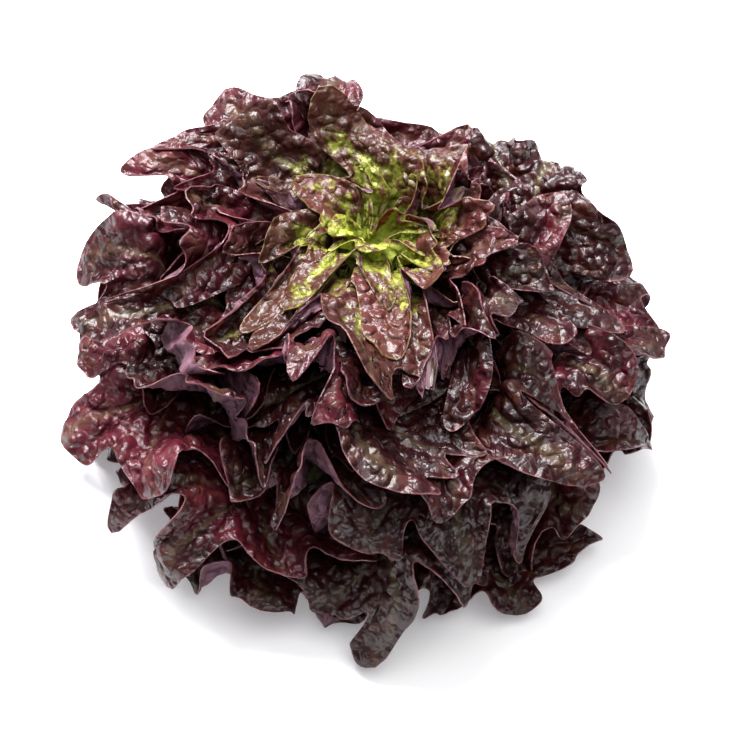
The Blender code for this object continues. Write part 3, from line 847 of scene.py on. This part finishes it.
class FineLeaf:
    """A leaf's fine solid and the values that its material reads."""

    def __init__(self, leaf, family, flow, stack, push, k, m):
        random = np.random.default_rng((LOOKS_SEED, int(leaf.name[-2:])))
        self.leaf = leaf
        self.family = family
        self.flow = flow
        self.column, self.row, quads, rim, number = fine_coordinates(k, m)
        self.length = float(np.interp(leaf.sheet, family.sheets, family.length)) * leaf.stretch
        self.scale = self.length / FULL_LENGTH
        self.around = np.abs(self.column - COLUMNS) / COLUMNS
        self.beat = self.around * LOBES
        self.signed = np.sign(self.column - COLUMNS) * self.beat
        self.phases = random.uniform(0, 2 * math.pi, PHASES)
        drawn = self.scalloped()
        run, turn, sheet = self.ruffled(drawn)
        sheet = sheet + carried_push(push, self.column, self.row)
        lie = self.point(run, turn, sheet)
        pucker, lift = self.puckered(lie, run, random)
        sheet = stack.clear(run, turn, sheet, lift, number)
        stack.take(run, turn, sheet, UNDER_LIFT * lift, quads)
        middle = self.point(run, turn, sheet)
        inward = self.point(run, turn, sheet - INWARD_STEP) - middle
        normals = grid_normals(middle, quads)
        if (normals * inward).sum() < 0:
            quads = quads[:, ::-1]
            rim = rim[::-1]
            normals = -normals
        vein, ridge, groove = self.ribbed(leaf.plan(self.length, self.column, drawn)[0])
        top = middle + normals * (BLADE_THICKNESS / 2 + lift - groove)[:, None]
        low = middle - normals * (BLADE_THICKNESS / 2 - UNDER_LIFT * lift + ridge)[:, None]
        self.points = np.concatenate([top, low])
        self.points[:, 2] = np.maximum(self.points[:, 2], LOWEST_LEAF_POINT)
        count = len(middle)
        after = np.roll(rim, -1)
        band = np.stack([rim, rim + count, after + count, after], axis=1)
        self.quads = np.concatenate([quads, quads[:, ::-1] + count, band])
        both = {"lie": lie, "vein": vein, "row": self.row, "run": run, "lift": pucker}
        self.values = {key: np.concatenate([value, value]) for key, value in both.items()}
        self.values["under"] = np.concatenate([np.zeros(count), np.ones(count)])
        self.values["sheet"] = np.full(2 * count, leaf.sheet)
        self.values["lot"] = np.full(2 * count, random.uniform())

    def wave(self, beats, phase):
        """The angle of a wave that runs round the margin, so many times a lobe."""
        return 2 * math.pi * self.signed * beats + self.phases[phase]

    def point(self, run, turn, sheet):
        return placed(self.family, self.flow, run, turn, sheet, BLADE_THICKNESS)

    def scalloped(self):
        """The rows drawn in a little at the margin's scallops."""
        scallop = SCALLOP_SHARES[0] * np.cos(self.wave(SCALLOPS_A_LOBE[0], 3))
        scallop = scallop + SCALLOP_SHARES[1] * np.cos(self.wave(SCALLOPS_A_LOBE[1], 4))
        notched = smooth_step(*SCALLOPS_GROW, 1 - self.around) * self.row**SCALLOP_POWER
        return self.row * (1 - SCALLOP * (0.5 - 0.5 * scallop) * notched)

    def ruffled(self, drawn):
        """Run, turn and sheet of the points, with the solid's ruffles, small frills and a rolled margin."""
        run, turn, swing = self.leaf.outline(self.family, self.column, drawn)
        blade = smooth_step(*BLADE_BEGINS, run)
        grown = smooth_step(0, FRILLED_FROM_SHEET, self.leaf.sheet)
        frill = np.sin(self.wave(FRILLS_A_LOBE[0], 0))
        frill = frill + SECOND_FRILL * np.sin(self.wave(FRILLS_A_LOBE[1], 1))
        frill = frill * (HEART_FRILL_SHARE + (1 - HEART_FRILL_SHARE) * grown)
        swing = swing + FRILL_SWING * self.scale * frill * self.row**FRILL_POWER * blade
        roll = smooth_step(*ROLL_ROWS, self.row)
        roll = roll * (ROLL_MEAN + ROLL_VARIES * np.cos(self.wave(ROLLS_A_LOBE, 2)))
        swing = swing + ROLL_SWING * self.scale * roll * blade
        spacing = self.family.read(self.family.spacing, run, np.full_like(run, self.leaf.sheet))
        sheet = self.leaf.sheet + SWING_SHEETS * np.tanh(swing / spacing / SWING_SHEETS)
        return run, turn, kept_in_family(sheet)

    def puckered(self, lie, run, random):
        """How much of a pucker there is at each point, and how far it and the swells lift the point."""
        cell = PUCKER_CELL * (PUCKER_CELL_SCALE[0] + PUCKER_CELL_SCALE[1] * self.scale)
        first, second = cells(lie, cell, random)
        dome = 1 - PUCKER_DOME * np.minimum(first, PUCKER_REACH) ** 2
        pucker = smooth_step(0, PUCKER_EDGE, second - first) * dome
        first, second = cells(lie, SWELL_CELL, random)
        swell = smooth_step(0, SWELL_EDGE, second - first)
        inner = 1 - MARGIN_FLATNESS * smooth_step(*PUCKERS_BY_MARGIN, self.row)
        inner = smooth_step(*PUCKERS_BY_MIDRIB, self.row) * inner
        lift = (PUCKER_HEIGHT * pucker + SWELL_HEIGHT * swell) * inner * smooth_step(*BLADE_BEGINS, run)
        return pucker * inner, lift * (LIFT_SCALE[0] + LIFT_SCALE[1] * self.scale)

    def ribbed(self, x):
        """How much of a rib or vein there is at each point, its ridge below and its groove above."""
        half = MIDRIB_HALF_WIDTH - MIDRIB_TIP_HALF_WIDTH
        half = MIDRIB_TIP_HALF_WIDTH + half * self.around**MIDRIB_WIDTH_POWER
        height = MIDRIB_TIP_HEIGHT + (MIDRIB_HEIGHT - MIDRIB_TIP_HEIGHT) * self.around**RIB_TAPER
        at_tip = self.around == 0
        midrib = np.exp(-((x / half) ** 2)) * ~at_tip + np.exp(-((self.row / TIP_RIB_ROW) ** 2)) * at_tip
        from_vein = np.abs(self.beat - np.round(self.beat)) * VEIN_SPACING
        lateral = np.exp(-((from_vein / VEIN_HALF_WIDTH) ** 2)) * (1 - self.row) ** VEIN_FADE_POWER
        lateral = lateral * smooth_step(*VEINS_GROW, 1 - self.around)
        vein_height = VEIN_HEIGHT * lateral * self.scale
        ridge = midrib * height * np.clip(self.leaf.sheet + MIDRIB_IN_HEART, 0, 1) + vein_height
        groove = VEIN_GROOVE * vein_height + MIDRIB_GROOVE * midrib * height
        return np.clip(midrib + lateral * VEIN_PALENESS, 0, 1), ridge, groove


def mesh_object(name, points, quads, values, material):
    mesh = bpy.data.meshes.new(name)
    mesh.vertices.add(len(points))
    mesh.vertices.foreach_set("co", points.astype(np.float32).ravel())
    mesh.loops.add(quads.size)
    mesh.loops.foreach_set("vertex_index", quads.astype(np.int32).ravel())
    mesh.polygons.add(len(quads))
    mesh.polygons.foreach_set("loop_start", np.arange(0, quads.size, 4, dtype=np.int32))
    mesh.polygons.foreach_set("use_smooth", np.ones(len(quads), bool))
    mesh.update(calc_edges=True)
    for key, value in values.items():
        kind, field = ("FLOAT_VECTOR", "vector") if value.ndim == 2 else ("FLOAT", "value")
        attribute = mesh.attributes.new(key, kind, "POINT")
        attribute.data.foreach_set(field, value.astype(np.float32).ravel())
    mesh.set_sharp_from_angle(angle=SHARP_ANGLE)
    mesh.materials.append(material)
    obj = bpy.data.objects.new(name, mesh)
    bpy.context.scene.collection.objects.link(obj)
    return obj


class Nodes:
    """Short ways to add and join the nodes of one material."""

    def __init__(self, name):
        self.material = bpy.data.materials.new(name)
        self.material.use_nodes = True
        self.tree = self.material.node_tree
        self.tree.nodes.clear()

    def add(self, kind, inputs=None, **settings):
        node = self.tree.nodes.new(kind)
        for key, value in settings.items():
            setattr(node, key, value)
        for key, value in (inputs or {}).items():
            self.put(node.inputs[key], value)
        return node

    def put(self, socket, value):
        if isinstance(value, bpy.types.NodeSocket):
            self.tree.links.new(value, socket)
        else:
            socket.default_value = value

    def math(self, operation, *values):
        node = self.add("ShaderNodeMath", operation=operation)
        for socket, value in zip(node.inputs, values):
            self.put(socket, value)
        return node.outputs[0]

    def vector_math(self, operation, inputs):
        return self.add("ShaderNodeVectorMath", inputs, operation=operation).outputs[0]

    def value(self, name):
        return self.add("ShaderNodeAttribute", attribute_name=name).outputs["Fac"]

    def vector(self, name):
        return self.add("ShaderNodeAttribute", attribute_name=name).outputs["Vector"]

    def ramp(self, value, low, high, out_low=0.0, out_high=1.0):
        """The value's share of the way from low to high, eased and limited."""
        inputs = {"Value": value, "From Min": low, "From Max": high, "To Min": out_low, "To Max": out_high}
        return self.add("ShaderNodeMapRange", inputs, interpolation_type="SMOOTHSTEP").outputs[0]

    def mix(self, share, first, second):
        """Two colours mixed. They are inputs 6 and 7 of the node, and output 2."""
        node = self.add("ShaderNodeMix", data_type="RGBA")
        self.put(node.inputs[0], share)
        self.put(node.inputs[6], self.colour(first))
        self.put(node.inputs[7], self.colour(second))
        return node.outputs[2]

    def mix_value(self, share, first, second):
        return self.math("MULTIPLY_ADD", share, second - first, first)

    def weighed(self, value, middle, weight, total):
        """The total with the value's excess over its middle added, weighed."""
        return self.math("MULTIPLY_ADD", self.math("SUBTRACT", value, middle), weight, total)

    @staticmethod
    def colour(value):
        return (*value, 1) if isinstance(value, tuple) else value

    def noise(self, vector, scale, detail=2.0, roughness=0.5):
        inputs = {"Vector": vector, "Scale": scale, "Detail": detail, "Roughness": roughness}
        return self.add("ShaderNodeTexNoise", inputs).outputs["Fac"]

    def bent(self, vector):
        """The vector moved about a little, so that cells laid out by it are uneven."""
        inputs = {"Vector": vector, "Scale": UNEVEN_NOISE, "Detail": 2.0}
        noise = self.add("ShaderNodeTexNoise", inputs).outputs["Color"]
        shift = self.vector_math("SUBTRACT", {0: noise, 1: (0.5, 0.5, 0.5)})
        shift = self.vector_math("SCALE", {0: shift, "Scale": UNEVEN_SHIFT})
        return self.vector_math("ADD", {0: vector, 1: shift})

    def cell_edges(self, vector, scale):
        inputs = {"Vector": vector, "Scale": scale}
        return self.add("ShaderNodeTexVoronoi", inputs, feature="DISTANCE_TO_EDGE").outputs["Distance"]

    def blister(self, vector, scale):
        return self.add("ShaderNodeTexVoronoi", {"Vector": vector, "Scale": scale}).outputs["Distance"]

    def bump(self, height, distance, strength, normal=None):
        node = self.add("ShaderNodeBump", {"Height": height, "Distance": distance, "Strength": strength})
        if normal is not None:
            self.put(node.inputs["Normal"], normal)
        return node.outputs[0]

    def finish(self, shader):
        """The material, with the shader joined to its output."""
        out = self.add("ShaderNodeOutputMaterial")
        self.tree.links.new(shader.outputs[0], out.inputs["Surface"])
        return self.material


def leaf_material(name):
    n = Nodes(name)
    lie = n.vector("lie")
    row, run, sheet, under = n.value("row"), n.value("run"), n.value("sheet"), n.value("under")
    vein, lift, lot = n.value("vein"), n.value("lift"), n.value("lot")
    broad = n.noise(lie, BROAD_NOISE)
    blotch = n.noise(lie, BLOTCH_NOISE, 3.0, 0.6)
    freckle = n.noise(lie, FRECKLE_NOISE, 2.0, 0.6)
    fine_net = n.cell_edges(lie, FINE_NET_CELLS)

    # More red to the skirt, to the margin and on the puckers, less on the veins and low down
    red = n.math("MULTIPLY_ADD", sheet, RED_BY_SHEET, RED_AT_HEART)
    red = n.weighed(run, *RED_BY_RUN, red)
    red = n.weighed(row, *RED_BY_ROW, red)
    red = n.weighed(broad, *RED_BY_BROAD, red)
    red = n.weighed(blotch, *RED_BY_BLOTCH, red)
    red = n.weighed(freckle, *RED_BY_FRECKLE, red)
    red = n.math("MULTIPLY_ADD", lift, RED_BY_LIFT, red)
    red = n.math("MULTIPLY_ADD", vein, RED_BY_VEIN, red)
    red = n.ramp(red, 0.0, 1.0)

    green = n.mix(n.ramp(sheet, *GREEN_DARKENS), HEART_GREEN, LEAF_GREEN)
    green = n.mix(n.ramp(sheet, *GREEN_TO_OLIVE), green, OLIVE)
    green = n.mix(n.ramp(n.cell_edges(lie, NET_CELLS), *NET_PALES), green, HEART_GREEN)
    maroon = n.mix(n.ramp(n.weighed(lot, 0.5, LOT_WEIGHT, broad), *MAROON_LIGHTENS), MAROON, MAROON_LIGHT)
    maroon = n.mix(n.ramp(blotch, *MAROON_BROWNS), maroon, MAROON_BROWN)
    maroon = n.mix(n.ramp(sheet, *BLUSH_FADES), maroon, BLUSH)
    mauve = n.mix(n.ramp(blotch, *MAUVE_DEEPENS), MAUVE, MAUVE_DEEP)
    mauve = n.mix(n.ramp(fine_net, *MAUVE_NET), mauve, MAUVE_DEEP)
    colour = n.mix(under, n.mix(red, green, maroon), n.mix(red, green, mauve))
    pale = n.math("MULTIPLY", vein, n.ramp(run, *RIB_DARKENS))
    colour = n.mix(n.math("MULTIPLY", pale, RIB_SHARE), colour, RIB_PALE)
    edge = n.math("MULTIPLY", n.ramp(row, *EDGE_ROWS), n.ramp(blotch, *EDGE_PATCHES))
    colour = n.mix(edge, colour, n.mix(n.ramp(sheet, *EDGE_REDDENS), LEAF_GREEN, EDGE_PINK))

    # Puckers, the net of small veins, and the skin's grain
    uneven = n.bent(lie)
    bumps = n.bump(n.ramp(n.blister(uneven, BUBBLE_CELLS), *BUBBLE_DOME), *BUBBLE_BUMP)
    small = n.ramp(n.blister(uneven, SMALL_BUBBLE_CELLS), *BUBBLE_DOME)
    bumps = n.bump(small, *SMALL_BUBBLE_BUMP, bumps)
    grain = n.math("MULTIPLY", n.noise(lie, GRAIN_NOISE), GRAIN_SHARE)
    height = n.math("MULTIPLY_ADD", n.ramp(fine_net, *FINE_NET_EDGE), FINE_NET_SHARE, grain)
    inputs = {"Base Color": colour, "Specular IOR Level": LEAF_SPECULAR}
    inputs["Normal"] = n.bump(height, *SKIN_BUMP, bumps)
    rough = n.mix_value(under, ROUGH_ABOVE, ROUGH_BELOW)
    inputs["Roughness"] = n.weighed(blotch, 0.5, ROUGH_BY_BLOTCH, rough)
    shader = n.add("ShaderNodeBsdfPrincipled", inputs)

    # Thin blades let some light through, most of all in the heart
    glow = n.add("ShaderNodeBsdfTranslucent", {"Color": n.mix(red, green, GLOW_RED)})
    share = n.ramp(sheet, *GLOW_SHARE)
    return n.finish(n.add("ShaderNodeMixShader", {0: share, 1: shader.outputs[0], 2: glow.outputs[0]}))


def stem_material():
    n = Nodes("stem_flesh")
    place = n.add("ShaderNodeTexCoord").outputs["Object"]
    grain = n.noise(place, *STEM_GRAIN)
    spots = n.noise(place, *STEM_SPOTS)
    colour = n.mix(n.ramp(spots, *STEM_BROWNS), STEM_PALE, STEM_BROWN)
    colour = n.mix(n.ramp(grain, *STEM_FIBRES), colour, STEM_FIBRE)
    inputs = {"Base Color": colour, "Roughness": n.ramp(grain, *STEM_ROUGH)}
    inputs["Normal"] = n.bump(grain, *STEM_BUMP)
    return n.finish(n.add("ShaderNodeBsdfPrincipled", inputs))


def coarse_leaves(family, flow):
    """The leaves, heart first, each with the pushes that set its solid apart from the others."""
    random = np.random.default_rng(SEED)
    leaves = [Leaf(number, random) for number in range(LEAVES)]
    heap = Heap()
    points, faces = stem_surface()
    heap.add(points, [tuple(face) for face in faces])
    stack = Stack(family)
    column, row, faces, rim = leaf_grid()
    rib = np.exp(-((row / RIB_WIDTH) ** 2)) * (np.abs(column - COLUMNS) / COLUMNS) ** RIB_TAPER
    made = []
    for leaf in reversed(leaves):
        run, turn, swing = leaf.outline(family, column, row)
        thickness = leaf_thickness(leaf.sheet, rib)
        spacing = family.read(family.spacing, run, np.full_like(run, leaf.sheet))
        first = kept_in_family(leaf.sheet + SWING_SHEETS * np.tanh(swing / spacing / SWING_SHEETS))
        sheet = stack.push_out(run, turn, first, faces, thickness / 2)
        sheet = clear_sheets(heap, family, flow, run, turn, sheet, faces, rim, thickness)
        stack.take(run, turn, sheet, faces, thickness / 2)
        middle = placed(family, flow, run, turn, sheet, thickness)
        heap.add(*thin_solid(middle, faces, rim, thickness))
        made.append((leaf, sheet - first))
    return made


def leaf_slot(sheet):
    if sheet < HEART_BELOW_SHEET:
        return "heart_leaf"
    return "blushed_leaf" if sheet < BLUSHED_BELOW_SHEET else "red_leaf"


def dress_leaves():
    """Every leaf of the frame replaced by its fine one."""
    family = SheetFamily()
    flow = Flow(np.random.default_rng(SEED + 1))
    slots = {name: leaf_material(name) for name in ("heart_leaf", "blushed_leaf", "red_leaf")}
    stack = FineStack(family)
    for number, (leaf, push) in enumerate(coarse_leaves(family, flow)):
        small = number < HEART_LEAVES
        k, m = (HEART_COLUMNS, HEART_ROWS) if small else (FINE_COLUMNS, FINE_ROWS)
        fine = FineLeaf(leaf, family, flow, stack, push, k, m)
        slot = leaf_slot(leaf.sheet)
        obj = mesh_object(leaf.name + "_blade", fine.points, fine.quads, fine.values, slots[slot])
        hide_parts(leaf.name)
        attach(obj, "root")


def pale_floor():
    h = FLOOR_HALF
    mesh = bpy.data.meshes.new("floor")
    mesh.from_pydata([(-h, -h, 0), (h, -h, 0), (h, h, 0), (-h, h, 0)], [], [(0, 1, 2, 3)])
    floor = bpy.data.objects.new("floor", mesh)
    bpy.context.scene.collection.objects.link(floor)
    n = Nodes("paper")
    inputs = {"Base Color": FLOOR_COLOUR, "Roughness": FLOOR_ROUGHNESS}
    inputs["Emission Color"] = FLOOR_GLOW_COLOUR
    inputs["Emission Strength"] = FLOOR_GLOW
    mesh.materials.append(n.finish(n.add("ShaderNodeBsdfPrincipled", inputs)))


def studio_sky():
    """A sky that is brightest above and behind the head."""
    world = bpy.data.worlds.new("studio")
    bpy.context.scene.world = world
    world.use_nodes = True
    tree = world.node_tree
    sky = tree.nodes["Background"]
    sky.inputs["Color"].default_value = SKY_COLOUR
    place = tree.nodes.new("ShaderNodeTexCoord")
    facing = tree.nodes.new("ShaderNodeVectorMath")
    facing.operation = "DOT_PRODUCT"
    facing.inputs[1].default_value = SKY_TOWARD
    strength = tree.nodes.new("ShaderNodeMapRange")
    strength.interpolation_type = "SMOOTHSTEP"
    for name, value in zip(("From Min", "From Max", "To Min", "To Max"), SKY_RANGE):
        strength.inputs[name].default_value = value
    tree.links.new(place.outputs["Generated"], facing.inputs[0])
    tree.links.new(facing.outputs["Value"], strength.inputs["Value"])
    tree.links.new(strength.outputs["Result"], sky.inputs["Strength"])


def soft_light(name, place, size, power, colour):
    light = bpy.data.lights.new(name, "AREA")
    light.shape = "DISK"
    light.size = size
    light.energy = power
    light.color = colour
    obj = bpy.data.objects.new(name, light)
    bpy.context.scene.collection.objects.link(obj)
    obj.location = place
    obj.rotation_euler = (Vector(place) - Vector(LIGHT_AIM)).to_track_quat("Z", "Y").to_euler()


def camera():
    data = bpy.data.cameras.new("camera")
    data.lens = CAMERA_LENS
    data.sensor_width = CAMERA_SENSOR
    obj = bpy.data.objects.new("camera", data)
    bpy.context.scene.collection.objects.link(obj)
    back = Vector((0, -math.cos(CAMERA_ELEVATION), math.sin(CAMERA_ELEVATION)))
    obj.location = Vector(CAMERA_AIM) + back * CAMERA_DISTANCE
    obj.rotation_euler = back.to_track_quat("Z", "Y").to_euler()
    bpy.context.scene.camera = obj


def main():
    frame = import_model()
    dress_leaves()
    stem = frame["nodes"]["stem"]
    stem.data.materials.clear()
    stem.data.materials.append(stem_material())
    pale_floor()
    studio_sky()
    for name, light in LIGHTS.items():
        soft_light(name, *light)
    camera()
    bpy.context.scene.view_settings.view_transform = "Standard"


main()
